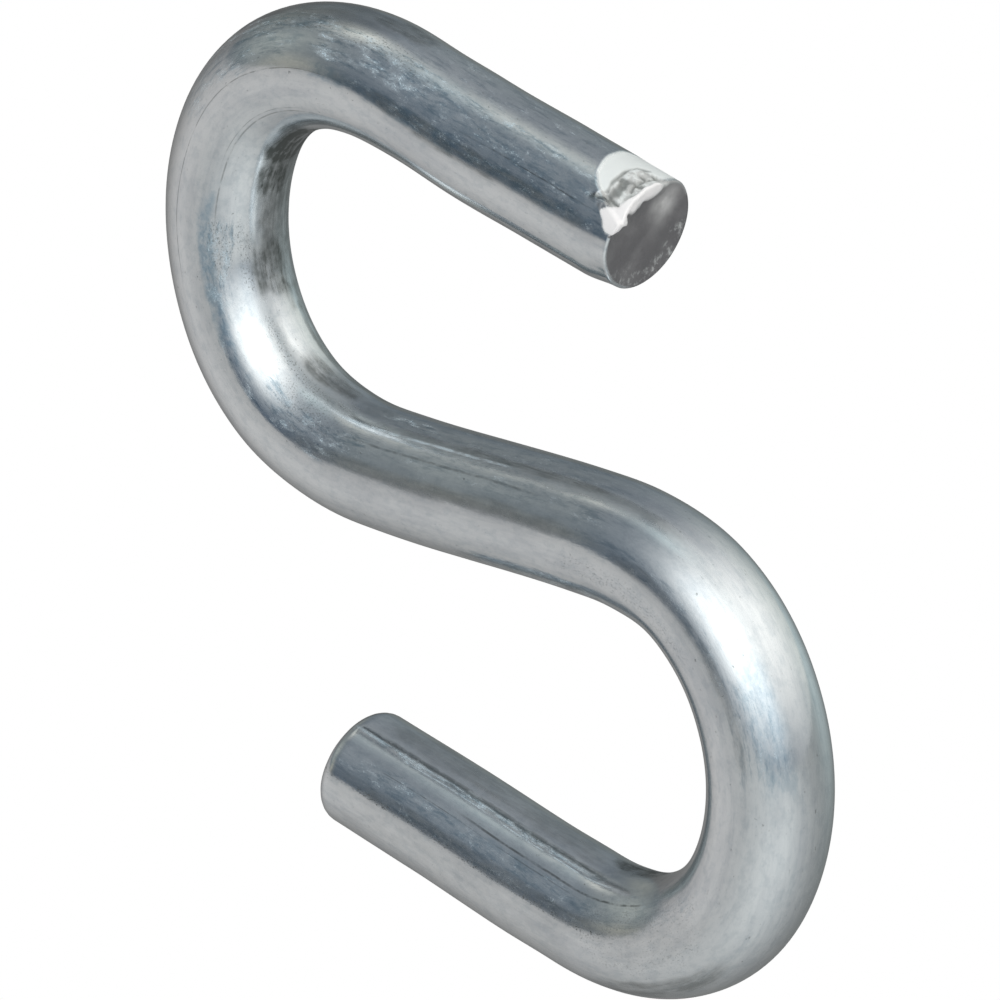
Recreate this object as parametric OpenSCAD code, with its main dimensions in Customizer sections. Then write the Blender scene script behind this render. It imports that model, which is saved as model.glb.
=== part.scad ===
// S hook: one length of round bar bent into two open eyes, one above the other.
// It hangs in the XZ plane. The origin is the point under the crown of the upper eye that
// carries it, and the load pulls straight down -Z from the same point of the lower eye.

/* [Bar] */
// Diameter of the round bar
bar_d = 9.5; // [6:0.1:12]

/* [Middle] */
// Length of the straight run between the two eyes
middle_len = 23; // [10:0.5:40]

/* [Eyes] */
// Inside radius of the bend that leaves the middle run
shoulder_inside_r = 10.5; // [8:0.25:13]
// Angle of that bend
shoulder_angle = 68; // [60:1:76]
// Inside radius of the wide bend at the back of an eye
back_inside_r = 13.25; // [10:0.25:16]
// Angle of that bend
back_angle = 48; // [40:1:56]
// Inside radius of the tight bend that carries the load and ends at the leg
seat_inside_r = 8.5; // [7:0.25:11]
// Angle of that bend
seat_angle = 78; // [70:1:86]

/* [Legs] */
// Length of the straight leg that ends the upper eye
upper_leg_len = 26; // [12:0.5:40]
// Length of the straight leg that ends the lower eye
lower_leg_len = 25.5; // [12:0.5:40]

/* [Cut ends] */
// Rounding of the rim at the upper cut end
upper_rim_r = 0.4; // [0.1:0.1:2]
// Rounding of the rim at the lower cut end
lower_rim_r = 1.3; // [0.1:0.1:2]
// How far back from the upper end the shear blade flattened the bar
shear_flat_len = 4.4; // [2:0.1:8]
// How deep that flat cuts at the end
shear_flat_depth = 0.4; // [0.1:0.05:0.8]

/* [Hidden] */
$fn = 96;

bar_r = bar_d / 2;
shoulder_r = shoulder_inside_r + bar_r;
back_r = back_inside_r + bar_r;
seat_r = seat_inside_r + bar_r;

// Direction from a bend's centre to the bar, after the bar has turned through an angle
function spoke(angle) = [sin(angle), cos(angle)];

// Centre of the load-carrying bend, measured from the hook's centre with the middle run along X
seat_centre = [middle_len / 2, -shoulder_r]
    + (shoulder_r - back_r) * spoke(shoulder_angle)
    + (back_r - seat_r) * spoke(shoulder_angle + back_angle);

// The load line runs through the hook's centre and both seats
seat_from_centre = norm(seat_centre) + seat_inside_r;
hang_slope = -90 - atan2(seat_centre[1], seat_centre[0]);

// Side of the block that cuts the shear flat: it only has to be larger than the flat
cutter = 2 * max(bar_d, shear_flat_len);
// How far a knuckle stands out of the bar: too little to see or feel
knuckle_proud = 0.01;

// Ball that knits two stretches of bar together where they meet end to end
module knuckle() {
    sphere(r = bar_r + knuckle_proud);
}

// Straight bar along +X. What follows it starts at its far end.
module straight(length) {
    rotate([0, 90, 0]) cylinder(r = bar_r, h = length);
    translate([length, 0, 0]) {
        knuckle();
        children();
    }
}

// Bar bent clockwise, seen from -Y. What follows it starts at its far end.
module bend(r, angle) {
    translate([0, 0, -r]) {
        rotate([90, 0, 0])
            rotate_extrude(angle = angle, start = 90 - angle)
                translate([r, 0]) circle(r = bar_r);
        rotate([0, angle, 0]) translate([0, 0, r]) {
            knuckle();
            children();
        }
    }
}

// Half of a leg's section: a rectangle with its outer end corner rounded
module leg_profile(length, rim_r) {
    square([bar_r - rim_r, length]);
    square([bar_r, length - rim_r]);
    translate([bar_r - rim_r, length - rim_r]) circle(r = rim_r);
}

// Straight leg along +X, cut square at its far end with a rounded rim
module leg(length, rim_r) {
    rotate([0, 90, 0]) rotate_extrude() leg_profile(length, rim_r);
}

// Half of the hook, from its centre to the end of a leg
module half_hook() {
    straight(middle_len / 2)
        bend(shoulder_r, shoulder_angle)
            bend(back_r, back_angle)
                bend(seat_r, seat_angle)
                    children();
}

// Block above a leg along +X, tipped towards its end: it takes off the shear flat, which
// lies on the side away from the eye
module shear_cutter(length) {
    translate([length - shear_flat_len, 0, bar_r])
        rotate([0, atan2(shear_flat_depth, shear_flat_len), 0])
            translate([0, -cutter / 2, 0]) cube(cutter);
}

module s_hook() {
    color([0.62, 0.66, 0.69])
        translate([0, 0, -seat_from_centre])
            rotate([0, -hang_slope, 0]) {
                half_hook() leg(lower_leg_len, lower_rim_r);
                rotate([0, 180, 0])
                    half_hook()
                        difference() {
                            leg(upper_leg_len, upper_rim_r);
                            shear_cutter(upper_leg_len);
                        }
            }
}

s_hook();
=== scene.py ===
"""S hook: bent zinc plated bar, hanging. One swept mesh stands for the CAD bar.

Lengths along and across the bar are in millimetres until a mesh is made. A place on the bar is
given by `along`, the distance from the upper cut end, and `turn`, the angle around the bar: 0 is
the front (-Y), 90 degrees the outer side of the upper eye, -90 degrees its inner side. The tables
give turns in degrees, and the grids of points hold them in radians.
"""

import math

import bpy
import numpy as np
from mathutils import Matrix, Vector, noise

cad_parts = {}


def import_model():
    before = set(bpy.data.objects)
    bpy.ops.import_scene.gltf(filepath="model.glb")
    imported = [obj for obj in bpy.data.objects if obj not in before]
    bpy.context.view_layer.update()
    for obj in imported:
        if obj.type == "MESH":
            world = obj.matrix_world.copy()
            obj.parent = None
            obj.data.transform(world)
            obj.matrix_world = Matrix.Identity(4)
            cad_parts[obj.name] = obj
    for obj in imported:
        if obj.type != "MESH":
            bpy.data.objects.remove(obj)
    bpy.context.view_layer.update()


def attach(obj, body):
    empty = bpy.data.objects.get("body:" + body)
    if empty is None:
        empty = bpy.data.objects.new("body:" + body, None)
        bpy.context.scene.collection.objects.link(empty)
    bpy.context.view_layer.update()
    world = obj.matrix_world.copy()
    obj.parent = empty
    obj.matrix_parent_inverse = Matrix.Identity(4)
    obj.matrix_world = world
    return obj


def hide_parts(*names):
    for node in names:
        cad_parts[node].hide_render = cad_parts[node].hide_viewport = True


MM = 0.001

# The bar and its bends, as in part.scad
BAR_R = 4.75
MIDDLE_LEN = 23.0
BENDS = [(15.25, 68.0), (18.0, 48.0), (13.25, 78.0)]  # centreline radius and angle, from the middle
UPPER_LEG_LEN = 26.0
LOWER_LEG_LEN = 25.5
# Rounding of the rims of the cut ends: the upper one is sharper than in part.scad
UPPER_RIM_R = 0.2
LOWER_RIM_R = 1.3

# A bend eases in over this length on each side of its start, and out in the same way
EASE = 2.4
# Cold bending leaves the bar a little off its true course and thickness, as (along, mm) pairs: a
# stray above 0 is towards the outer side of the upper eye, and a swell above 0 is a thicker bar
STRAY = [
    (0, -0.1), (9, -0.15), (15, -0.23), (24, 0.03), (29, -0.1), (38, 0.08), (57, -0.06),
    (67, 0.07), (73, -0.12), (83, 0.1), (95, -0.06), (103, 0.06), (109, -0.15), (120, 0.03),
    (135, 0.09), (148, 0.18), (153, 0.0), (158, -0.1), (167, 0.03), (176, 0.0),
]
SWELL = [
    (0, 0.0), (20, 0.02), (30, 0.06), (45, 0.0), (57, -0.09), (72, -0.06), (90, 0.0),
    (112, 0.05), (130, 0.06), (147, 0.06), (156, 0.03), (168, 0.0), (176, -0.04),
]

# Mesh density: points around the bar, mm from ring to ring, and rings on a cut face and on a rim
AROUND = 192
STEP_ALONG = 0.55
STEP_AT_END = 0.11
FACE_RINGS = 34
RIM_RINGS = 7
# Length of the upper end that holds the shear's mark, where the rings are closer
END_ZONE = 6.0


# ---------------------------------------------------------------- the bar's course

def smooth(low, high, value):
    """0 below low, 1 above high, and a smooth step between them. Low may be the larger one."""
    t = np.clip((value - low) / (high - low), 0, 1)
    return t * t * (3 - 2 * t)


def eased(along, pairs):
    """Value at each place along from (along, value) pairs, with a smooth step from pair to pair."""
    starts = np.array([start for start, _ in pairs])
    values = np.array([value for _, value in pairs])
    at = np.clip(np.searchsorted(starts, along) - 1, 0, len(pairs) - 2)
    return values[at] + (values[at + 1] - values[at]) * smooth(starts[at], starts[at + 1], along)


def running_sum(values, step):
    """Integral of evenly spaced values, from 0 at the first one."""
    parts = (values[1:] + values[:-1]) / 2 * step
    return np.concatenate([np.zeros_like(values[:1]), np.cumsum(parts, axis=0)])


def hang():
    """Slope of the middle run in degrees, and how far the hook's centre is below the upper seat.

    The load line runs through the hook's centre and the centre of each load-carrying bend.
    """
    x, z = MIDDLE_LEN / 2, -BENDS[0][0]
    turned = 0.0
    for (radius, angle), (next_radius, _) in zip(BENDS[:-1], BENDS[1:]):
        turned += math.radians(angle)
        x += (radius - next_radius) * math.sin(turned)
        z += (radius - next_radius) * math.cos(turned)
    seat_inside_r = BENDS[-1][0] - BAR_R
    return -90 - math.degrees(math.atan2(z, x)), math.hypot(x, z) + seat_inside_r


HANG_SLOPE, CENTRE_DROP = hang()


def stretches():
    """Each stretch of the bar as (length, curvature per mm), from the upper end to the lower."""
    bends = [(math.radians(angle) * radius, 1 / radius) for radius, angle in BENDS]
    upper = [(UPPER_LEG_LEN, 0.0)] + bends[::-1]
    lower = [(length, -curvature) for length, curvature in bends] + [(LOWER_LEG_LEN, 0.0)]
    return upper + [(MIDDLE_LEN, 0.0)] + lower


def course():
    """Centreline of the bar: distances along it, points and unit tangents in the XZ plane."""
    step = 0.05
    pieces = stretches()
    ends = np.cumsum([length for length, _ in pieces])
    curvatures = np.array([curvature for _, curvature in pieces])
    along = np.arange(0, ends[-1] + step / 2, step)
    bend = curvatures[np.clip(np.searchsorted(ends, along), 0, len(pieces) - 1)]
    reach = int(EASE / step)
    window = np.hanning(2 * reach + 1)
    bend = np.convolve(np.pad(bend, reach, mode="edge"), window / window.sum(), mode="valid")

    # The hook's centre, halfway along the middle run, fixes both the slope and the place
    centre = ends[len(BENDS)] + MIDDLE_LEN / 2
    heading = running_sum(bend, step)
    heading += math.radians(HANG_SLOPE) - np.interp(centre, along, heading)
    tangent = np.stack([np.cos(heading), np.sin(heading)], axis=1)
    point = running_sum(tangent, step)
    at_centre = [np.interp(centre, along, point[:, k]) for k in range(2)]
    point += np.array([0.0, -CENTRE_DROP]) - at_centre
    outward = np.stack([tangent[:, 1], -tangent[:, 0]], axis=1)
    point += eased(along, STRAY)[:, None] * outward
    return along, point, tangent


ALONG, POINT, TANGENT = course()
BAR_LEN = float(ALONG[-1])


def place(along, turn, reach):
    """Point in the frame, in metres, at a distance along, a turn and a distance off the axis."""
    inside = np.clip(along, 0, BAR_LEN)
    x, z = (np.interp(inside, ALONG, POINT[:, k]) for k in range(2))
    tx, tz = (np.interp(inside, ALONG, TANGENT[:, k]) for k in range(2))
    size = np.hypot(tx, tz)
    tx, tz = tx / size, tz / size
    past = along - inside
    front = reach * np.cos(turn)
    side = reach * np.sin(turn)
    return np.stack([x + past * tx + side * tz, -front, z + past * tz - side * tx], axis=-1) * MM


# ---------------------------------------------------------------- marks of drawing and bending

# Shallow waves in the drawn bar: (name, grain along, grain around, seed, height), in mm
WAVES = [
    ("lengthwise", 26.0, 1.1, 3.0, 0.004),
    ("hammered", 3.2, 2.4, 40.0, 0.004),
    ("rolling", 9.0, 5.0, 80.0, 0.007),
]
# How deep they are cut on average
WAVE_DEPTH = 0.010
# Flats and dents of the bending tools: (name, along, turn, half length in mm, half width in
# degrees, depth in mm)
DENTS = [
    ("upper_leg_flat", 12, 25, 17, 16, 0.13),
    ("upper_leg_neck", 22, 122, 3.0, 30, 0.12),
    ("upper_leg_dip", 21, -56, 3.0, 26, 0.06),
    ("upper_shoulder_press", 25, 92, 3.5, 14, 0.06),
    ("lower_crown_press", 108, 50, 3.0, 20, 0.07),
    ("lower_leg_root_press", 147, 100, 4.0, 16, 0.08),
]


def surface_noise(along, turn, grain_along, grain_around, seed, reach=BAR_R):
    """Soft noise on the bar's surface, about -1 to 1, with a grain of two lengths in mm."""
    across = reach / grain_around
    grid = (along / grain_along + seed, np.cos(turn) * across, np.sin(turn) * across)
    values = [noise.noise(Vector(point)) for point in zip(*(np.ravel(axis) for axis in grid))]
    widen = 1.6  # the plain noise seldom goes past 0.6
    return np.reshape(values, np.shape(along)) * widen


def degrees_apart(turn, centre):
    """Signed angle in degrees from a centre in degrees to each turn, the short way round."""
    return (np.degrees(turn) - centre + 180) % 360 - 180


def draw_marks(along, turn):
    """Depth of the shallow hollows that the drawing die and the bending tools left."""
    depth = WAVE_DEPTH - eased(along, SWELL)
    for _, grain_along, grain_around, seed, height in WAVES:
        depth = depth + height * surface_noise(along, turn, grain_along, grain_around, seed)
    for _, middle, around, half_length, half_width, deep in DENTS:
        off_along = (along - middle) / half_length
        off_around = degrees_apart(turn, around) / half_width
        depth = depth + deep * np.exp(-(off_along ** 2 + off_around ** 2))
    return depth


# ---------------------------------------------------------------- the shear's mark

# Outlines of its zones at the upper end, as (turn, along) pairs in degrees and mm
SCOOP_EDGE = [
    (30, 0.0), (44, 1.9), (52, 3.0), (62, 3.9), (84, 4.45), (106, 4.45), (126, 3.9), (140, 2.4),
    (150, 0.0),
]
TORN_EDGE = [
    (20, 0.0), (30, 1.6), (42, 2.9), (48, 2.5), (60, 2.4), (83, 2.5), (100, 2.0), (107, 0.6),
    (112, 0.0),
]
LIP_EDGE = [
    (14, 0.0), (20, 0.9), (33, 1.8), (45, 0.9), (60, 0.45), (85, 0.30), (97, 0.12), (103, 0.0),
]
# How close to the axis the torn lip comes over the face: (turn, mm) pairs
LIP_ON_FACE = [
    (12, 4.9), (22, 4.1), (33, 3.9), (42, 4.3), (51, 3.95), (68, 3.9), (90, 4.0), (104, 4.3),
    (116, 4.9),
]
FAR = 9.0  # mm: where an outline lies at the turns that it doesn't cover
# Cracks and folds in the torn metal: (name, half width in mm, depth in mm, outline)
CRACKS = [
    ("open_crack", 0.16, 0.22, [(45, 0.9), (46, 1.8), (43, 2.5)]),
    ("crack_tail", 0.22, 0.05, [(43, 2.5), (40, 3.1)]),
    ("torn_border", 0.12, 0.10, [(52, 2.3), (62, 2.5), (82, 2.55), (97, 2.35), (106, 1.7)]),
    ("fold", 0.14, 0.20, [(66, 0.9), (78, 1.15), (90, 0.95), (104, 0.75)]),
]
# The shear rolled the edge in on its other side: (turn, mm) pairs, fading over a length
ROLLED_IN = [(-140, 0.0), (-100, 0.20), (-60, 0.34), (-27, 0.30), (-5, 0.05), (10, 0.0)]
ROLL_LEN = 3.0

# Depths in mm: the scoop, what it gains over its length towards the cut end, and the torn metal
SCOOP_DEPTH = 0.13
SCOOP_FALL = 0.40
SCOOP_LEN = 4.45
SCOOP_FADE = (136, 98)  # turns where the scoop has no depth yet, and where it has all of it
TORN_DEPTH = 0.15
CRUMPLE_DEPTH = 0.30
SHRED_HEIGHT = 0.05
# How far the lip stands above the scoop, and how far it is pushed out past the end: everywhere,
# and more round its thickest place (turn and half width in degrees)
LIP_RISE = 0.22
LIP_OUT = 0.10
LIP_OUT_MORE = 0.26
LIP_THICKEST = (32, 13)
# The scoop's bright metal is rubbed off its far edge: turns between which that starts
WORN_EDGE = (102, 114)


def around_pairs(turn, pairs, outside):
    """Value at each turn from (turn, value) pairs, with a fixed value outside them."""
    turns, values = zip(*pairs)
    return np.interp(np.degrees(turn), turns, values, left=outside, right=outside)


def inside_edge(along, turn, edge, blur):
    """1 between an outline and the cut end, 0 outside it, over a soft border of some mm."""
    return smooth(-blur, blur, around_pairs(turn, edge, -FAR) - along)


def off_line(along, turn, line):
    """Distance in mm from a line of (turn, along) places on the bar's wall."""
    nearest = np.full_like(along, np.inf)
    x, y = BAR_R * turn, along
    for (turn_a, y_a), (turn_b, y_b) in zip(line[:-1], line[1:]):
        x_a, x_b = BAR_R * math.radians(turn_a), BAR_R * math.radians(turn_b)
        dx, dy = x_b - x_a, y_b - y_a
        t = np.clip(((x - x_a) * dx + (y - y_a) * dy) / (dx * dx + dy * dy), 0, 1)
        nearest = np.minimum(nearest, np.hypot(x - x_a - t * dx, y - y_a - t * dy))
    return nearest


def crack_marks(along, turn, wander, wall):
    """Mask and depth of the cracks and folds in the wall, each wandering off its line."""
    cracks, depth = np.zeros_like(along), np.zeros_like(along)
    for _, half_width, deep, line in CRACKS:
        off = off_line(along, turn, line) + 0.3 * wander
        mask = np.exp(-(off / half_width) ** 2) * wall
        cracks = np.maximum(cracks, mask)
        depth = np.maximum(depth, deep * mask)
    return cracks, depth


def shear_mark(along, turn, reach):
    """The shear's work on the upper end: masks of its zones, depth taken off, metal pushed out."""
    degrees, outer = np.degrees(turn), reach / BAR_R
    wander = 0.20 * surface_noise(along, turn, 0.9, 0.9, 11.0, reach)
    crumple = surface_noise(along, turn, 1.2, 0.9, 21.0, reach)
    shreds = 1 - 2 * np.abs(surface_noise(along, turn, 0.55, 0.40, 31.0, reach))
    wall = smooth(0.93, 0.97, outer)

    scoop = inside_edge(along + 0.3 * wander, turn, SCOOP_EDGE, 0.14)
    over_face = smooth(-0.12, 0.12, reach + 1.2 * wander - around_pairs(turn, LIP_ON_FACE, FAR))
    lip = inside_edge(along + 0.5 * wander, turn, LIP_EDGE, 0.12) * over_face
    torn = inside_edge(along + wander, turn, TORN_EDGE, 0.10) * (1 - lip)
    cracks, crack_depth = crack_marks(along, turn, wander, wall)

    toward_end = np.clip(1 - along / SCOOP_LEN, 0, 1)
    depth = scoop * smooth(*SCOOP_FADE, degrees) * (SCOOP_DEPTH + SCOOP_FALL * toward_end)
    torn_depth = TORN_DEPTH + CRUMPLE_DEPTH * crumple - SHRED_HEIGHT * shreds
    depth = depth + torn * (0.35 + 0.65 * scoop) * torn_depth - LIP_RISE * lip * scoop
    depth = depth + around_pairs(turn, ROLLED_IN, 0.0) * smooth(ROLL_LEN, 0.0, along)
    depth = depth * smooth(0.25, 1.0, outer) + crack_depth

    thickest, spread = LIP_THICKEST
    out = LIP_OUT + LIP_OUT_MORE * np.exp(-((degrees - thickest) / spread) ** 2)
    pushed = lip * (out + 0.05 * crumple) * smooth(1.6, 0.2, along)
    worn = smooth(*WORN_EDGE, degrees) * smooth(0.7, 0.2, along)
    zones = {
        "scoop": scoop * wall * (1 - 0.75 * worn),
        "torn": torn * wall,
        "lip": lip,
        "crack": cracks,
        # Painted shade in the deepest crumples
        "crevice_shade": torn * wall * smooth(0.0, 0.45, crumple),
    }
    return zones, depth, pushed


# ---------------------------------------------------------------- patches of wear, painted shade and reflections

# Places are (name, along, turn, half length in mm, half width in degrees, amount). Dark patches:
DARK_PATCHES_AND_SHADE = [
    ("inner_eye", 46, -98, 13, 31, 0.52),
    ("inner_eye_start", 38.5, -88, 6.5, 28, 1.0),
    ("inner_eye_upper", 45, -84, 2.5, 17, 0.80),
    ("inner_eye_dark", 55.5, -85, 3.2, 19, 0.72),
    ("inner_eye_exit", 70, -89, 4.5, 14, 0.58),
    ("inner_eye_last", 76, -84, 3, 10, 0.2),
    ("inner_eye_far_side", 62, -118, 22, 9, 0.55),
    ("upper_shoulder", 25, 92, 2.8, 13, 0.55),
    ("eye_back", 32, 84, 7, 20, 0.35),
    ("upper_leg_border", 14, 13, 13, 8, 0.45),
    ("upper_leg_edge", 13, -45, 13, 5, 0.35),
    ("lower_leg_border", 161, 20, 12, 6, 0.34),
    ("lower_leg_back", 163, 94, 11, 17, 0.30),
    ("lower_leg_pale", 162, -12, 14, 20, 0.13),
    ("lower_leg_root", 147, 98, 4.5, 15, 0.85),
    ("lower_crown", 144, -44, 5, 14, 0.45),
    # Painted shade on the lower loop
    ("lower_loop", 142, 6, 6, 18, 0.13),
    ("middle_outer", 95, 43, 8, 7, 0.25),
    ("middle_front", 86, -21, 14, 7, 0.3),
    # Painted shade along the middle run's side
    ("middle_side", 92, -68, 12, 4.5, 0.40),
    ("loop_border", 112, -17, 10, 5, 0.30),
]
# Pale oxide, and a painted reflection of the middle run on the lower leg
BLOOMS_AND_REFLECTION = [
    ("upper_leg", 14, 37, 14, 13, 0.6),
    ("upper_leg_border", 14, 17, 14, 8, 0.5),
    ("upper_leg_root", 25, 42, 5.5, 15, 1.2),
    ("upper_leg_crest", 16, 57, 16, 6, 0.75),
    ("upper_leg_back", 14, 90, 12, 26, 0.42),
    ("eye_front", 37, 40, 7, 24, 0.55),
    ("eye_crown", 34, 62, 5, 14, 0.6),
    ("left_highlight_far", 72, -32, 6, 17, 0.8),
    ("left_highlight_near", 54, -32, 5, 15, 0.75),
    ("left_highlight_edge", 64, -20, 11, 7, 0.6),
    ("right_highlight_side", 120, -40, 4, 24, 0.5),
    ("right_highlight_edge", 112, -20, 11, 8, 0.5),
    ("lower_leg", 162, 30, 14, 15, 0.5),
    # Painted reflection of the middle run
    ("lower_leg_ridge", 163, 66, 13, 4, 1.0),
    ("lower_leg_crown", 142, 38, 8, 24, 0.3),
    ("middle", 90, -48, 14, 14, 0.4),
    ("middle_far_side", 90, -88, 14, 20, 0.35),
    ("middle_light", 81, -83, 3.5, 5, 0.8),
    ("middle_outer", 97, 42, 9, 11, 0.9),
]
# Fine dark specks round the smoothest places
SPECKS = [
    ("inner_eye_rim", 54, -60, 4, 8, 0.6),
    ("eye_slope", 53, -36, 3, 12, 0.55),
    ("eye_exit", 71, -46, 4.5, 14, 0.5),
    ("eye_exit_rim", 66, -68, 6, 5, 0.7),
    ("upper_leg_root", 28, 60, 8, 12, 0.5),
    ("lower_leg_border", 160, 15.5, 15, 3, 0.9),
    ("lower_loop", 142, 10, 7, 30, 0.35),
    ("kink", 106, 8, 7, 10, 0.4),
]
# Painted reflection of the studio's dark slate part: slate blue beside the highlights and on the
# legs
PAINTED_SLATE_REFLECTIONS = [
    ("eye_front_side", 56, -22, 8, 7, 0.36),
    ("upper_leg_border", 14, 15, 14, 7, 0.34),
    ("lower_leg_front", 161, 36, 12, 9, 0.16),
    ("lower_loop_front", 119.5, -48, 4, 16, 0.18),
    ("eye_outer", 37, 52, 6, 22, 0.10),
    ("upper_leg_front", 13, 38, 13, 14, 0.15),
]
# Plating dulled by rubbing
SCUFFS = [
    ("eye_inner_side", 66, -70, 9, 11, 1.0),
    ("middle_side", 94, -64, 15, 9, 1.0),
]
# Every kind of patch, with the seed of its ragged outline
PATCHES = {
    "dark_patch_and_shade": (DARK_PATCHES_AND_SHADE, 5.0),
    "bloom_and_reflection": (BLOOMS_AND_REFLECTION, 25.0),
    "specks": (SPECKS, 45.0),
    "scuff": (SCUFFS, 65.0),
    "painted_slate_reflection": (PAINTED_SLATE_REFLECTIONS, 85.0),
}


def patches(along, turn, places, seed):
    """Soft-edged patches with ragged outlines. Where two overlap, the stronger one counts."""
    ragged = 0.24 * surface_noise(along, turn, 3.0, 1.4, seed)
    ragged = ragged + 0.11 * surface_noise(along, turn, 1.0, 0.5, seed + 9)
    strongest = np.zeros_like(along)
    for _, middle, around, half_length, half_width, amount in places:
        off_along = (along - middle) / half_length
        off_around = degrees_apart(turn, around) / half_width
        far = (off_along ** 4 + off_around ** 4) ** 0.25
        strongest = np.maximum(strongest, amount * smooth(1.22, 0.70, far + ragged))
    return strongest


# ---------------------------------------------------------------- the cut faces

# The lower face was plated over: how much of the bare cut still shows there
LOWER_FACE_CUT = 0.3
# The upper rim is bright between these turns; elsewhere it gets painted shade, as dark as the cut
# face
BRIGHT_RIM = (-75, 14)
# Hollow in the middle of a cut face: its depth, and (grain, seed, height) of its ripples, in mm
FACE_HOLLOW = 0.10
FACE_RIPPLES = [(2.0, 55.0, 0.05), (0.45, 65.0, 0.014)]
# Worn patch on a cut face: its middle, in mm to the front and to the outer side, and its spreads
WORN_MIDDLE = (-1.5, 2.5)
WORN_SPREAD = (1.6, 2.2)


def face_masks(along, turn, reach, faces):
    """Masks of the bare cut with painted shade on its rim, its worn patch, and the gritty border on
    its inner side.
    """
    degrees = np.degrees(turn)
    cut = faces * np.where(along < BAR_LEN / 2, 1.0, LOWER_FACE_CUT)
    rim_start, rim_end = BRIGHT_RIM
    blur = 10
    # Painted shade: outside the bright turns the upper rim takes the cut face's dark colour
    dark = np.where(degrees < rim_end, smooth(rim_start + blur, rim_start - blur, degrees), 1.0)
    rim_painted_shade = dark * smooth(0.25, 0.10, along)
    off_front = reach * np.cos(turn) - WORN_MIDDLE[0]
    off_side = reach * np.sin(turn) - WORN_MIDDLE[1]
    worn = np.exp(-(off_front ** 2 / WORN_SPREAD[0] + off_side ** 2 / WORN_SPREAD[1]))
    border = smooth(0.45, 0.9, reach / BAR_R) * smooth(-20, -60, degrees)
    return {"face": np.maximum(cut, rim_painted_shade), "worn": faces * worn, "gritty": faces * border}


def face_hollow(along, turn, reach):
    """How far each point of a cut face is dished inwards, in mm along the bar."""
    hollow = FACE_HOLLOW
    for grain, seed, height in FACE_RIPPLES:
        hollow = hollow + height * surface_noise(0 * along, turn, 1.0, grain, seed, reach)
    inward = np.where(along < BAR_LEN / 2, 1.0, -1.0)
    return inward * smooth(0.98, 0.7, reach / BAR_R) * hollow


# ---------------------------------------------------------------- the mesh

def end_rings(rim_r):
    """Rings from the middle of a cut face out to its rim: (mm from the end, reach, on the face)."""
    face = [(0.0, reach, True) for reach in np.linspace(0, BAR_R - rim_r, FACE_RINGS + 2)[1:-1]]
    angles = np.linspace(math.pi / 2, 0, RIM_RINGS + 1)[:-1]
    rim = [(rim_r * (1 - math.sin(a)), BAR_R - rim_r * (1 - math.cos(a)), False) for a in angles]
    return face + rim


def ring_plan():
    """Rings from the middle of the upper face to that of the lower: (along, reach, on a face)."""
    fine = np.arange(UPPER_RIM_R, END_ZONE, STEP_AT_END)
    coarse = np.arange(END_ZONE, BAR_LEN - LOWER_RIM_R, STEP_ALONG)
    wall = [(along, BAR_R, False) for along in [*fine, *coarse, BAR_LEN - LOWER_RIM_R]]
    lower = [(BAR_LEN - off, reach, face) for off, reach, face in end_rings(LOWER_RIM_R)]
    return end_rings(UPPER_RIM_R) + wall + lower[::-1]


def bar_surface():
    """Grids of along, turn and reach over the marked bar, and a mask for each zone and patch."""
    plan = [np.array(column)[:, None] for column in zip(*ring_plan())]
    along, reach, faces = (np.repeat(column, AROUND, axis=1) for column in plan)
    turn = np.tile(np.linspace(-math.pi, math.pi, AROUND, endpoint=False), (len(along), 1))

    masks = {name: patches(along, turn, *settings) for name, settings in PATCHES.items()}
    masks.update(face_masks(along, turn, reach, faces))
    near = along[:, 0] < END_ZONE
    zones, cut, pushed = shear_mark(along[near], turn[near], reach[near])
    for name, mask in zones.items():
        masks[name] = np.zeros_like(along)
        masks[name][near] = mask

    depth = np.where(faces, 0.0, draw_marks(along, turn))
    depth[near] += cut
    shift = np.where(faces, face_hollow(along, turn, reach) * (1 - masks["lip"]), 0.0)
    shift[near] -= pushed
    least_reach = 0.05
    return along + shift, turn, np.maximum(reach - depth, least_reach), masks


def bar_faces(rings):
    """Quads between the rings, and a fan at each end round a pole that comes after the rings."""
    pairs = [(j, (j + 1) % AROUND) for j in range(AROUND)]
    faces = []
    for start in range(0, (rings - 1) * AROUND, AROUND):
        end = start + AROUND
        faces += [(start + j, end + j, end + k, start + k) for j, k in pairs]
    last = (rings - 1) * AROUND
    upper_pole, lower_pole = rings * AROUND, rings * AROUND + 1
    faces += [(upper_pole, j, k) for j, k in pairs]
    faces += [(lower_pole, last + k, last + j) for j, k in pairs]
    return faces


def bar_mesh():
    """The whole hook as one closed mesh, with its bar coordinates and masks as attributes."""
    along, turn, reach, masks = bar_surface()
    grid = place(along, turn, reach).reshape(-1, 3)
    ends = np.array([along[0].mean(), along[-1].mean()])
    poles = place(ends, np.zeros(2), np.zeros(2))
    mesh = bpy.data.meshes.new("bent_bar")
    mesh.from_pydata(np.concatenate([grid, poles]).tolist(), [], bar_faces(len(along)))
    mesh.validate()
    mesh.polygons.foreach_set("use_smooth", [True] * len(mesh.polygons))

    straight = np.stack([along, reach * np.cos(turn), reach * np.sin(turn)], axis=-1)
    pole_places = [[along[0, 0], 0, 0], [along[-1, 0], 0, 0]]
    bar = mesh.attributes.new("bar", "FLOAT_VECTOR", "POINT")
    bar.data.foreach_set("vector", np.concatenate([straight.reshape(-1, 3), pole_places]).ravel())
    for name, mask in masks.items():
        at_poles = [1.0, LOWER_FACE_CUT] if name == "face" else [0.0, 0.0]
        layer = mesh.attributes.new(name, "FLOAT", "POINT")
        layer.data.foreach_set("value", np.concatenate([mask.ravel(), at_poles]))
    mesh.update()
    return mesh


# ---------------------------------------------------------------- materials

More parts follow.
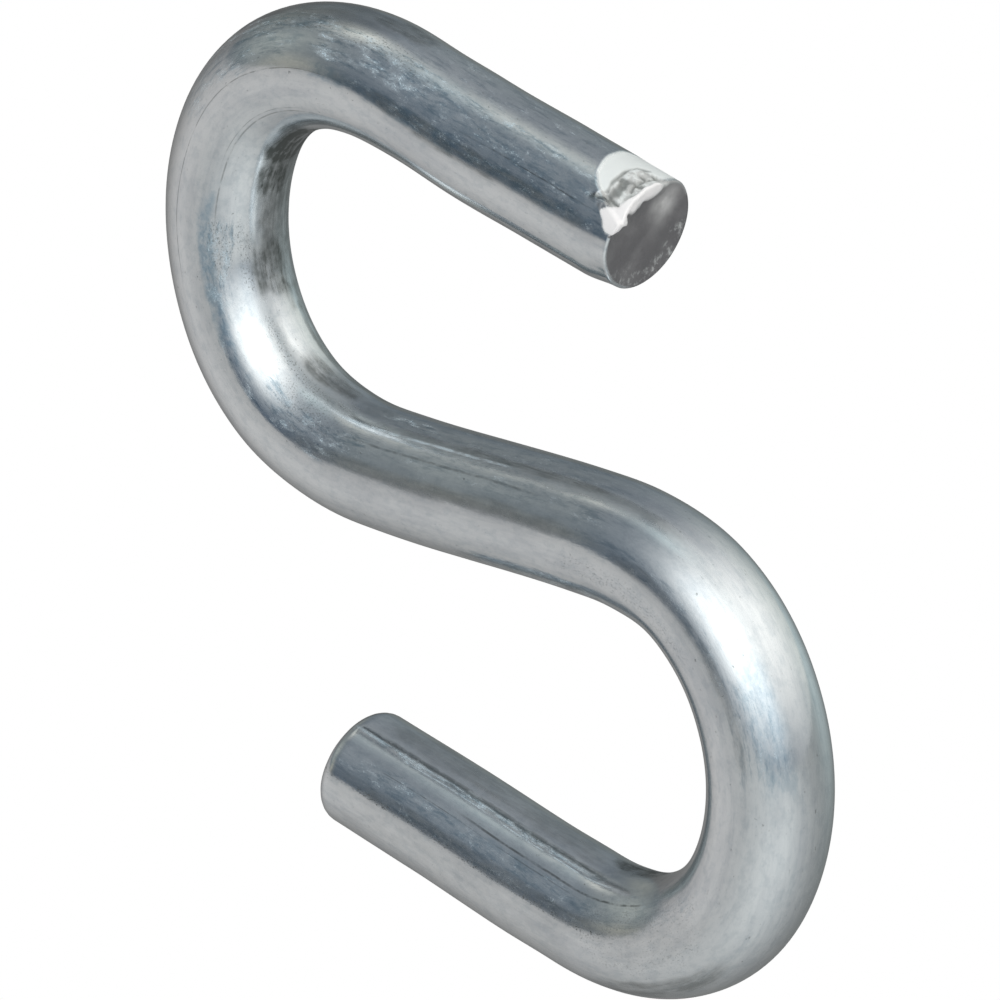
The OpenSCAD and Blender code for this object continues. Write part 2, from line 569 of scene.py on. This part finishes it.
# Colours as linear red, green, blue and alpha
ZINC_BRIGHT = (0.70, 0.73, 0.75, 1)
ZINC_DULL = (0.58, 0.61, 0.64, 1)
ZINC_STREAK = (0.19, 0.27, 0.33, 1)
# Slate blue of a painted reflection
PAINTED_REFLECTION_SLATE = (0.16, 0.30, 0.41, 1)
# Pale oxide, also used for painted reflection lines
OXIDE_AND_REFLECTION = (0.54, 0.66, 0.74, 1)
# Dark grime and specks, also used for painted shade
GRIME_AND_SHADE = (0.11, 0.12, 0.115, 1)
# Pale bare metal, partly a painted highlight on the scoop and lip
BARE_METAL_AND_HIGHLIGHT = (0.80, 0.825, 0.82, 1)
LIP_METAL_AND_HIGHLIGHT = (0.94, 0.915, 0.92, 1)
# Painted shading on the torn metal
TORN_GREY_SHADE = (0.39, 0.38, 0.375, 1)
# Dark cut face, also painted on the upper rim as shade
CUT_FACE_AND_RIM_SHADE = (0.150, 0.146, 0.154, 1)
CUT_FACE_WORN = (0.74, 0.73, 0.73, 1)
WHITE = (1, 1, 1, 1)

# Noise patterns over the bar: name, scale per mm along and around, detail and roughness
PATTERNS = {
    "clouds": (0.11, 0.30, 4.0, 0.6),
    "streaks": (0.05, 1.3, 3.0, 0.6),
    "hairlines": (0.16, 8.0, 3.0, 0.65),
    "speckle": (1.6, 3.4, 4.0, 0.75),
    "brushed": (0.50, 2.4, 6.0, 0.75),
    "mottle": (0.9, 1.3, 5.0, 0.7),
    "oxide_mottle": (0.6, 1.5, 6.0, 0.72),
    "oxide_flecks": (5.5, 8.0, 2.0, 0.6),
    "grime_ragged": (0.5, 0.9, 5.0, 0.7),
    "grime_brushed": (0.22, 2.4, 4.0, 0.7),
    "grime_specks": (2.0, 3.2, 3.0, 0.7),
    "pepper": (5.0, 9.0, 2.0, 0.6),
    "line_wander": (0.06, 0.1, 2.0, 0.5),
    "line_breaks": (0.7, 1.5, 3.0, 0.7),
    "torn_ragged": (1.3, 1.6, 4.0, 0.6),
    "face_clouds": (0.0, 0.45, 3.0, 0.55),
    "face_specks": (0.0, 1.3, 4.0, 0.7),
}

# Dark lines along the bar, most left by the drawing die: (name, turn, from, to, half width in mm,
# strength)
SEAMS_AND_PAINTED_LINES = [
    ("eye_inner", -31, 30, 50, 0.07, 0.45),
    ("eye_inner_fine", -27, 32, 44, 0.04, 0.4),
    ("middle_inner", -43, 77, 95, 0.11, 0.45),
    # Painted shade along the middle run's side
    ("middle_shade", -67, 86, 102, 0.08, 0.6),
    ("eye_front", 12, 27, 55, 0.05, 0.5),
    ("upper_leg_front", 30, 3, 15, 0.06, 0.6),
    ("lower_leg_root", 47, 143, 163, 0.10, 0.75),
    ("lower_leg_front", 41, 152, 172, 0.05, 0.5),
    # Painted reflection of the middle run on the lower leg
    ("lower_leg_side", 71.5, 150, 174, 0.20, 0.45),
]
# Pale gritty lines along the bar, in the same form; the lower leg's are a painted reflection of the
# middle run
RIDGES_AND_REFLECTIONS = [
    ("lower_leg_ridge", 66.5, 152, 176, 0.16, 0.6),
    ("lower_leg_upper_edge", 62, 148, 170, 0.07, 0.6),
    ("middle_ridge", -61, 75, 92, 0.14, 0.6),
    ("eye_outer_scratch", 60, 37, 42, 0.05, 0.8),
]
# Places of the colour sockets on a Mix node, which has several inputs of the same name
MIX_FACTOR, MIX_FIRST, MIX_SECOND, MIX_RESULT = 0, 6, 7, 2


class Nodes:
    """Short calls for building a node tree. A socket is linked, and a plain value is set."""

    def __init__(self, tree):
        self.tree = tree
        tree.nodes.clear()

    def add(self, kind, inputs=None, **settings):
        node = self.tree.nodes.new(kind)
        for name, value in settings.items():
            setattr(node, name, value)
        for name, value in (inputs or {}).items():
            socket = node.inputs[name]
            if isinstance(value, bpy.types.NodeSocket):
                self.tree.links.new(value, socket)
            else:
                socket.default_value = value
        return node

    def math(self, operation, *values, clamp=False):
        inputs = dict(enumerate(values))
        return self.add("ShaderNodeMath", inputs, operation=operation, use_clamp=clamp).outputs[0]

    def plus(self, first, second, clamp=False):
        return self.math("ADD", first, second, clamp=clamp)

    def minus(self, first, second):
        return self.math("SUBTRACT", first, second)

    def times(self, first, second):
        return self.math("MULTIPLY", first, second)

    def larger(self, first, second):
        return self.math("MAXIMUM", first, second)

    def vector(self, operation, *vectors, output="Vector", **inputs):
        inputs.update(enumerate(vectors))
        return self.add("ShaderNodeVectorMath", inputs, operation=operation).outputs[output]

    def dot(self, first, second):
        return self.vector("DOT_PRODUCT", first, second, output="Value")

    def mask(self, name):
        return self.add("ShaderNodeAttribute", attribute_name=name).outputs["Fac"]

    def pattern(self, bar, name):
        """Noise from 0 to 1 over the bar coordinates, one of the patterns in the table."""
        scale_along, scale_around, detail, roughness = PATTERNS[name]
        stretched = self.vector("MULTIPLY", bar, (scale_along, scale_around, scale_around))
        inputs = {"Vector": stretched, "Scale": 1.0, "Detail": detail, "Roughness": roughness}
        return self.add("ShaderNodeTexNoise", inputs).outputs["Fac"]

    def step(self, value, low, high, to_low=0.0, to_high=1.0):
        """A value's smooth step from low to high, mapped to two other values."""
        inputs = {"Value": value, "From Min": low, "From Max": high}
        inputs.update({"To Min": to_low, "To Max": to_high})
        return self.add("ShaderNodeMapRange", inputs, interpolation_type="SMOOTHSTEP").outputs[0]

    def mix(self, factor, first, second):
        """First colour where the factor is 0, second where it is 1."""
        inputs = {MIX_FACTOR: factor, MIX_FIRST: first, MIX_SECOND: second}
        return self.add("ShaderNodeMix", inputs, data_type="RGBA").outputs[MIX_RESULT]


def new_material(name):
    material = bpy.data.materials.new(name)
    material.use_nodes = True
    return material, Nodes(material.node_tree)


def bar_line(n, bar, wander, turn, start, end, half_width):
    """1 along one line on the bar, which wanders a little, and 0 away from it."""
    angle = math.radians(turn)
    across = n.dot(bar, (0, -math.sin(angle), math.cos(angle)))
    toward = n.dot(bar, (0, math.cos(angle), math.sin(angle)))
    off = n.math("ABSOLUTE", n.plus(across, wander))
    line = n.step(off, 0.3 * half_width, 1.4 * half_width, 1.0, 0.0)
    on_this_side = n.step(toward, 0, 1)
    along = n.add("ShaderNodeSeparateXYZ", {"Vector": bar}).outputs["X"]
    fade = 2.0
    started = n.step(along, start - fade, start + fade)
    not_ended = n.step(along, end - fade, end + fade, 1.0, 0.0)
    return n.times(n.times(line, on_this_side), n.times(started, not_ended))


def all_lines(n, bar, lines):
    """Every line of a list, broken up along its length."""
    wander = n.times(n.minus(n.pattern(bar, "line_wander"), 0.5), 0.9)
    broken = n.step(n.pattern(bar, "line_breaks"), 0.36, 0.58, 0.15, 1.0)
    strongest = 0.0
    for _, turn, start, end, half_width, strength in lines:
        line = bar_line(n, bar, wander, turn, start, end, half_width)
        strongest = n.larger(strongest, n.times(line, strength))
    return n.times(strongest, broken)


def pale_oxide_and_reflection(n, bar):
    """Pale oxide and a painted reflection line: crisp blotches and tiny flecks, thickest where the
    mask says so.
    """
    bloom_and_reflection = n.mask("bloom_and_reflection")
    mottle = n.pattern(bar, "oxide_mottle")
    threshold = n.step(bloom_and_reflection, 0.0, 1.0, 0.62, 0.47)
    blotch = n.math("DIVIDE", n.minus(mottle, threshold), 0.18, clamp=True)
    fleck = n.step(n.pattern(bar, "oxide_flecks"), 0.54, 0.66)
    dense = n.times(n.step(mottle, 0.48, 0.66), n.step(bloom_and_reflection, 0.0, 1.0, 0.12, 0.75))
    blotches = n.times(blotch, n.step(bloom_and_reflection, 0.0, 1.0, 0.06, 0.50))
    haze = n.times(bloom_and_reflection, 0.04)
    return n.plus(n.plus(blotches, n.times(fleck, dense)), haze, clamp=True)


def dark_marks_and_shade(n, bar):
    """Dark patches, partly painted shade: ragged blotches and streaks in their mask, and a few
    specks anywhere.
    """
    ragged = n.times(n.pattern(bar, "grime_ragged"), 0.55)
    brushed = n.times(n.pattern(bar, "grime_brushed"), 0.45)
    cover = n.times(n.mask("dark_patch_and_shade"), n.step(n.plus(ragged, brushed), 0.36, 0.62, 0.45, 1.3))
    speck = n.step(n.pattern(bar, "grime_specks"), 0.65, 0.76, 0.0, 0.55)
    pepper = n.step(n.pattern(bar, "pepper"), 0.54, 0.66)
    speck = n.larger(speck, n.times(pepper, n.mask("specks")))
    return n.larger(n.math("MINIMUM", cover, 0.97), speck)


def plated_colour(n, bar, clouds):
    """Colour of the clean zinc: bright and dull clouds, dark streaks and mottle, then a painted
    slate reflection.
    """
    streaks = n.pattern(bar, "streaks")
    dull = n.step(n.plus(n.times(clouds, 0.6), n.times(streaks, 0.4)), 0.42, 0.68)
    colour = n.mix(dull, ZINC_BRIGHT, ZINC_DULL)
    brushed = n.step(n.pattern(bar, "brushed"), 0.46, 0.66)
    in_bloom = n.step(n.mask("bloom_and_reflection"), 0.0, 0.8, 0.10, 0.75)
    colour = n.mix(n.times(brushed, in_bloom), colour, ZINC_STREAK)
    mottle = n.pattern(bar, "mottle")
    colour = n.mix(n.step(mottle, 0.44, 0.66, 0.0, 0.17), colour, ZINC_STREAK)
    # Painted reflection: slate blue where the metal mirrors the studio's dark slate part
    painted_slate_reflection = n.times(n.mask("painted_slate_reflection"), n.step(mottle, 0.35, 0.60, 0.5, 1.5))
    return n.mix(painted_slate_reflection, colour, PAINTED_REFLECTION_SLATE)


def cut_face_and_rim_shade_colour(n, bar):
    """Cut face colour, also the painted rim shade: dark, with a worn paler patch and a border of
    bright specks.
    """
    clouds = n.pattern(bar, "face_clouds")
    colour = n.mix(n.step(clouds, 0.40, 0.75, 0.0, 0.09), CUT_FACE_AND_RIM_SHADE, CUT_FACE_WORN)
    worn = n.times(n.mask("worn"), n.step(clouds, 0.3, 0.6, 0.5, 1.0))
    colour = n.mix(worn, colour, CUT_FACE_WORN)
    specks = n.step(n.pattern(bar, "face_specks"), 0.50, 0.68, 0.0, 0.6)
    return n.mix(n.times(specks, n.mask("gritty")), colour, BARE_METAL_AND_HIGHLIGHT)


def torn_colour(n, bar, torn, colour):
    """The shear's mark over a colour, with painted highlight and shade: pale scoop and lip, grey
    torn metal, dark cracks.
    """
    # Pale bare metal on the scoop and lip, partly a painted highlight
    colour = n.mix(torn, colour, BARE_METAL_AND_HIGHLIGHT)
    colour = n.mix(n.mask("lip"), colour, LIP_METAL_AND_HIGHLIGHT)
    ragged = n.step(n.pattern(bar, "torn_ragged"), 0.38, 0.58, 0.10, 0.65)
    # Grey patches on the torn metal: painted shading
    colour = n.mix(n.times(n.mask("torn"), ragged), colour, TORN_GREY_SHADE)
    # Painted shade in the cracks, folds and crevices
    dark = n.times(n.larger(n.mask("crack"), n.mask("crevice_shade")), 0.75)
    return n.mix(dark, colour, GRIME_AND_SHADE)


def plating_bump(n, bar, speckle, seams_and_painted_lines):
    """Fine relief: hairlines along the bar, pits, and the dark lines cut into it."""
    hairlines = n.times(n.pattern(bar, "hairlines"), 0.12)
    height = n.minus(n.plus(hairlines, n.times(speckle, 0.6)), n.times(seams_and_painted_lines, 0.8))
    inputs = {"Height": height, "Strength": 0.10, "Distance": 0.0001}
    return n.add("ShaderNodeBump", inputs).outputs[0]


def zinc_plating():
    """Bright zinc over drawn bar, with pale oxide, dark patches, painted shade and reflections, and
    a torn and a cut place.
    """
    material, n = new_material("zinc_plated_steel")
    bar = n.add("ShaderNodeAttribute", attribute_name="bar").outputs["Vector"]
    clouds = n.pattern(bar, "clouds")
    speckle = n.pattern(bar, "speckle")
    seams_and_painted_lines = all_lines(n, bar, SEAMS_AND_PAINTED_LINES)
    oxide_and_reflections = n.larger(pale_oxide_and_reflection(n, bar), all_lines(n, bar, RIDGES_AND_REFLECTIONS))
    dirt_and_shade = dark_marks_and_shade(n, bar)
    torn = n.larger(n.mask("scoop"), n.mask("lip"))

    colour = n.mix(oxide_and_reflections, plated_colour(n, bar, clouds), OXIDE_AND_REFLECTION)
    # Dark patches, specks and lines, with painted shade and a painted reflection line among them
    colour = n.mix(n.larger(dirt_and_shade, seams_and_painted_lines), colour, GRIME_AND_SHADE)
    # The face mask also holds the painted shade on the upper rim
    colour = n.mix(n.mask("face"), colour, cut_face_and_rim_shade_colour(n, bar))
    colour = torn_colour(n, bar, torn, colour)

    # Oxide, torn metal and the cut face shine less like metal than the plating does
    # So do the painted reflection lines, the painted rim shade and the painted highlight of the
    # scoop and lip
    matte = n.larger(n.times(oxide_and_reflections, 0.75), n.times(torn, 0.85))
    matte = n.larger(matte, n.times(n.mask("face"), 0.7))
    polish = n.step(clouds, 0.35, 0.70, 0.09, 0.16)
    roughness = n.plus(polish, n.step(speckle, 0.50, 0.80, 0.0, 0.10))
    roughness = n.plus(roughness, n.times(n.larger(matte, dirt_and_shade), 0.30))
    roughness = n.plus(roughness, n.times(n.mask("scuff"), 0.20))

    surface = n.add("ShaderNodeBsdfPrincipled", {
        "Base Color": colour,
        "Metallic": n.minus(1.0, matte),
        "Roughness": roughness,
        "Normal": plating_bump(n, bar, speckle, seams_and_painted_lines),
    })
    n.add("ShaderNodeOutputMaterial", {"Surface": surface.outputs[0]})
    return material


# ---------------------------------------------------------------- studio

# The camera: bearing, height and roll in degrees, lens and sensor in mm, distance in metres
CAMERA_AZIMUTH = 45.723
CAMERA_ELEVATION = -3.616
CAMERA_ROLL = 26.808
CAMERA_LENS = 420.6
CAMERA_SENSOR = 36
CAMERA_DISTANCE = 0.87994
# It looks at a point beside the hook's centre
CAMERA_AIM = Vector((0.253, 0.262, -CENTRE_DROP - 0.032)) * MM

# Places in the studio, in metres
HOOK_CENTRE = Vector((0, 0, -CENTRE_DROP * MM))
FLOOR_Z = -0.125
FLOOR_RADIUS = 3.0
TENT_RADIUS = 4.0
LAMP_PLACE = Vector((0.10, -0.25, 1.15))

# Soft lights in the tent: (name, bearing, height, spread, colour times strength). The angles are
# in degrees as the camera sees them: bearing 0 is its own side, and + is to its right
TENT_LIGHTS = [
    ("key_softbox", -10, 6, 22, (1.92, 1.92, 1.84)),
    ("key_softbox_foot", 25, -10, 12, (0.35, 0.39, 0.41)),
    ("right_softbox", 53, 34, 32, (1.39, 1.34, 1.24)),
    ("right_back_wall", 124, 21, 23, (0.58, 0.59, 0.51)),
    ("ceiling", -22, 62, 9, (0.27, 0.34, 0.33)),
    ("left_back_wall", -98, 30, 17, (0.40, 0.39, 0.32)),
    ("left_strip", -89, 68, 8, (0.84, 0.80, 0.68)),
    ("left_low_wall", -85, 5, 7, (0.30, 0.26, 0.18)),
    ("back_wall", -149, 41, 15, (0.24, 0.22, 0.16)),
]
# Glow of the tent between its lights
TENT_DARK = (0.010, 0.044, 0.092)
# The same for the pale table, which fills the tent below its edge
TABLE_LIGHTS = [
    ("table_left", -110, -10, 33, (0.52, 0.50, 0.49)),
    ("table_right", 26, -54, 49, (0.82, 0.84, 0.83)),
    ("table_back", 128, 25, 21, (0.51, 0.61, 0.61)),
]
# The way up from the table, in camera axes, and half the width of its soft edge
TABLE_SIDE = (0.027, 0.853, 0.520)
TABLE_BLUR = 0.04
# The floor fades to plain white between these distances from the origin, in metres, and even the
# nearest floor is this much plain white
FLOOR_FADE = (0.10, 0.70)
FLOOR_WHITE = 0.45


def camera_axes():
    """The camera's right, up and backward directions."""
    angles = (CAMERA_AZIMUTH, CAMERA_ELEVATION, CAMERA_ROLL)
    azimuth, elevation, roll = (math.radians(angle) for angle in angles)
    flat = math.cos(elevation)
    back = Vector((math.sin(azimuth) * flat, -math.cos(azimuth) * flat, math.sin(elevation)))
    level = Vector((math.cos(azimuth), math.sin(azimuth), 0))
    up = math.cos(roll) * back.cross(level) + math.sin(roll) * level
    return up.cross(back), up, back


def add_camera(axes):
    """A long lens aimed at the hook, from the side where the upper cut end shows."""
    data = bpy.data.cameras.new("camera")
    data.lens = CAMERA_LENS
    data.sensor_width = CAMERA_SENSOR
    data.clip_start = 0.01
    data.clip_end = 20
    camera = bpy.data.objects.new("camera", data)
    bpy.context.collection.objects.link(camera)
    turn = Matrix(axes).transposed().to_4x4()
    back = axes[2]
    camera.matrix_world = Matrix.Translation(CAMERA_AIM + back * CAMERA_DISTANCE) @ turn
    bpy.context.scene.camera = camera


def bearing(axes, longitude, latitude):
    """Direction at a bearing and height in degrees, as the camera sees them."""
    right, up, back = axes
    lon, lat = math.radians(longitude), math.radians(latitude)
    level = right * (math.sin(lon) * math.cos(lat)) + back * (math.cos(lon) * math.cos(lat))
    return level + up * math.sin(lat)


def soft_lights(n, direction, axes, lights, base):
    """Soft round lights added to a base colour, each falling off with the angle from its middle."""
    total = base
    for _, longitude, latitude, spread, colour in lights:
        toward = n.dot(direction, bearing(axes, longitude, latitude))
        fall = n.times(n.minus(toward, 1.0), 1 / math.radians(spread) ** 2)
        glow = n.vector("SCALE", colour, Scale=n.math("EXPONENT", fall))
        total = n.vector("ADD", glow, total)
    return total


def tent_material(axes):
    """Inside of the light tent: soft lights above, and the pale table below its front edge."""
    material, n = new_material("light_tent")
    position = n.add("ShaderNodeNewGeometry").outputs["Position"]
    direction = n.vector("NORMALIZE", n.vector("SUBTRACT", position, HOOK_CENTRE))
    above = soft_lights(n, direction, axes, TENT_LIGHTS, TENT_DARK)
    below = soft_lights(n, direction, axes, TABLE_LIGHTS, (0.0, 0.0, 0.0))
    table_up = sum((axis * part for axis, part in zip(axes, TABLE_SIDE)), Vector())
    side = n.dot(direction, table_up.normalized())
    colour = n.mix(n.step(side, -TABLE_BLUR, TABLE_BLUR), below, above)
    glow = n.add("ShaderNodeEmission", {"Color": colour, "Strength": 1.0})
    n.add("ShaderNodeOutputMaterial", {"Surface": glow.outputs[0]})
    return material


def add_tent(axes):
    """Glowing tent round the hook: it lights the metal and shows in it, but not to the camera."""
    bpy.ops.mesh.primitive_ico_sphere_add(subdivisions=4, radius=TENT_RADIUS, location=HOOK_CENTRE)
    tent = bpy.context.object
    tent.name = "light_tent"
    tent.data.materials.append(tent_material(axes))
    tent.visible_camera = False
    tent.visible_shadow = False


def add_overhead():
    """Soft lamp over the hook: it gives the floor its shadow and can't be seen in the metal."""
    data = bpy.data.lights.new("overhead_softbox", "AREA")
    data.shape = "DISK"
    data.size = 0.2
    data.energy = 4.0
    lamp = bpy.data.objects.new("overhead_softbox", data)
    bpy.context.collection.objects.link(lamp)
    lamp.location = LAMP_PLACE
    lamp.rotation_euler = (HOOK_CENTRE - LAMP_PLACE).to_track_quat("-Z", "Y").to_euler()
    lamp.visible_glossy = False
    lamp.visible_camera = False


def seen_directly(n):
    """1 for rays that meet the white background: seen directly, in metal or through glass."""
    path = n.add("ShaderNodeLightPath")
    seen = n.larger(path.outputs["Is Camera Ray"], path.outputs["Is Glossy Ray"])
    return n.larger(seen, path.outputs["Is Transmission Ray"])


def add_world():
    """White background, at half that strength as a light."""
    world = bpy.data.worlds.new("studio")
    world.use_nodes = True
    bpy.context.scene.world = world
    n = Nodes(world.node_tree)
    colour = n.mix(seen_directly(n), (0.5, 0.5, 0.5, 1), WHITE)
    light = n.add("ShaderNodeBackground", {"Color": colour, "Strength": 1.0})
    n.add("ShaderNodeOutputWorld", {"Surface": light.outputs[0]})


def add_floor():
    """Pale floor under the hanging hook. It shows the shadow near it and fades to white far off."""
    bpy.ops.mesh.primitive_circle_add(
        vertices=96, radius=FLOOR_RADIUS, fill_type="NGON", location=(0, 0, FLOOR_Z))
    floor = bpy.context.object
    floor.name = "floor"
    material, n = new_material("pale_floor")
    position = n.add("ShaderNodeNewGeometry").outputs["Position"]
    distance = n.vector("LENGTH", position, output="Value")
    fade = n.times(n.step(distance, *FLOOR_FADE, FLOOR_WHITE, 1.0), seen_directly(n))
    paint = n.add("ShaderNodeBsdfDiffuse", {"Color": (0.86, 0.86, 0.86, 1)})
    white = n.add("ShaderNodeEmission", {"Color": WHITE, "Strength": 1.0})
    blend = n.add("ShaderNodeMixShader", {"Fac": fade, 1: paint.outputs[0], 2: white.outputs[0]})
    n.add("ShaderNodeOutputMaterial", {"Surface": blend.outputs[0]})
    floor.data.materials.append(material)
    floor.visible_glossy = False


def add_hook():
    """The bent bar, which stands for the CAD node."""
    hook = bpy.data.objects.new("bent_bar", bar_mesh())
    bpy.context.collection.objects.link(hook)
    hook.data.materials.append(zinc_plating())
    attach(hook, "root")
    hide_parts("s_hook")


def main():
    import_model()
    add_hook()
    axes = camera_axes()
    add_camera(axes)
    add_tent(axes)
    add_overhead()
    add_world()
    add_floor()
    bpy.context.scene.view_settings.view_transform = "Standard"


main()
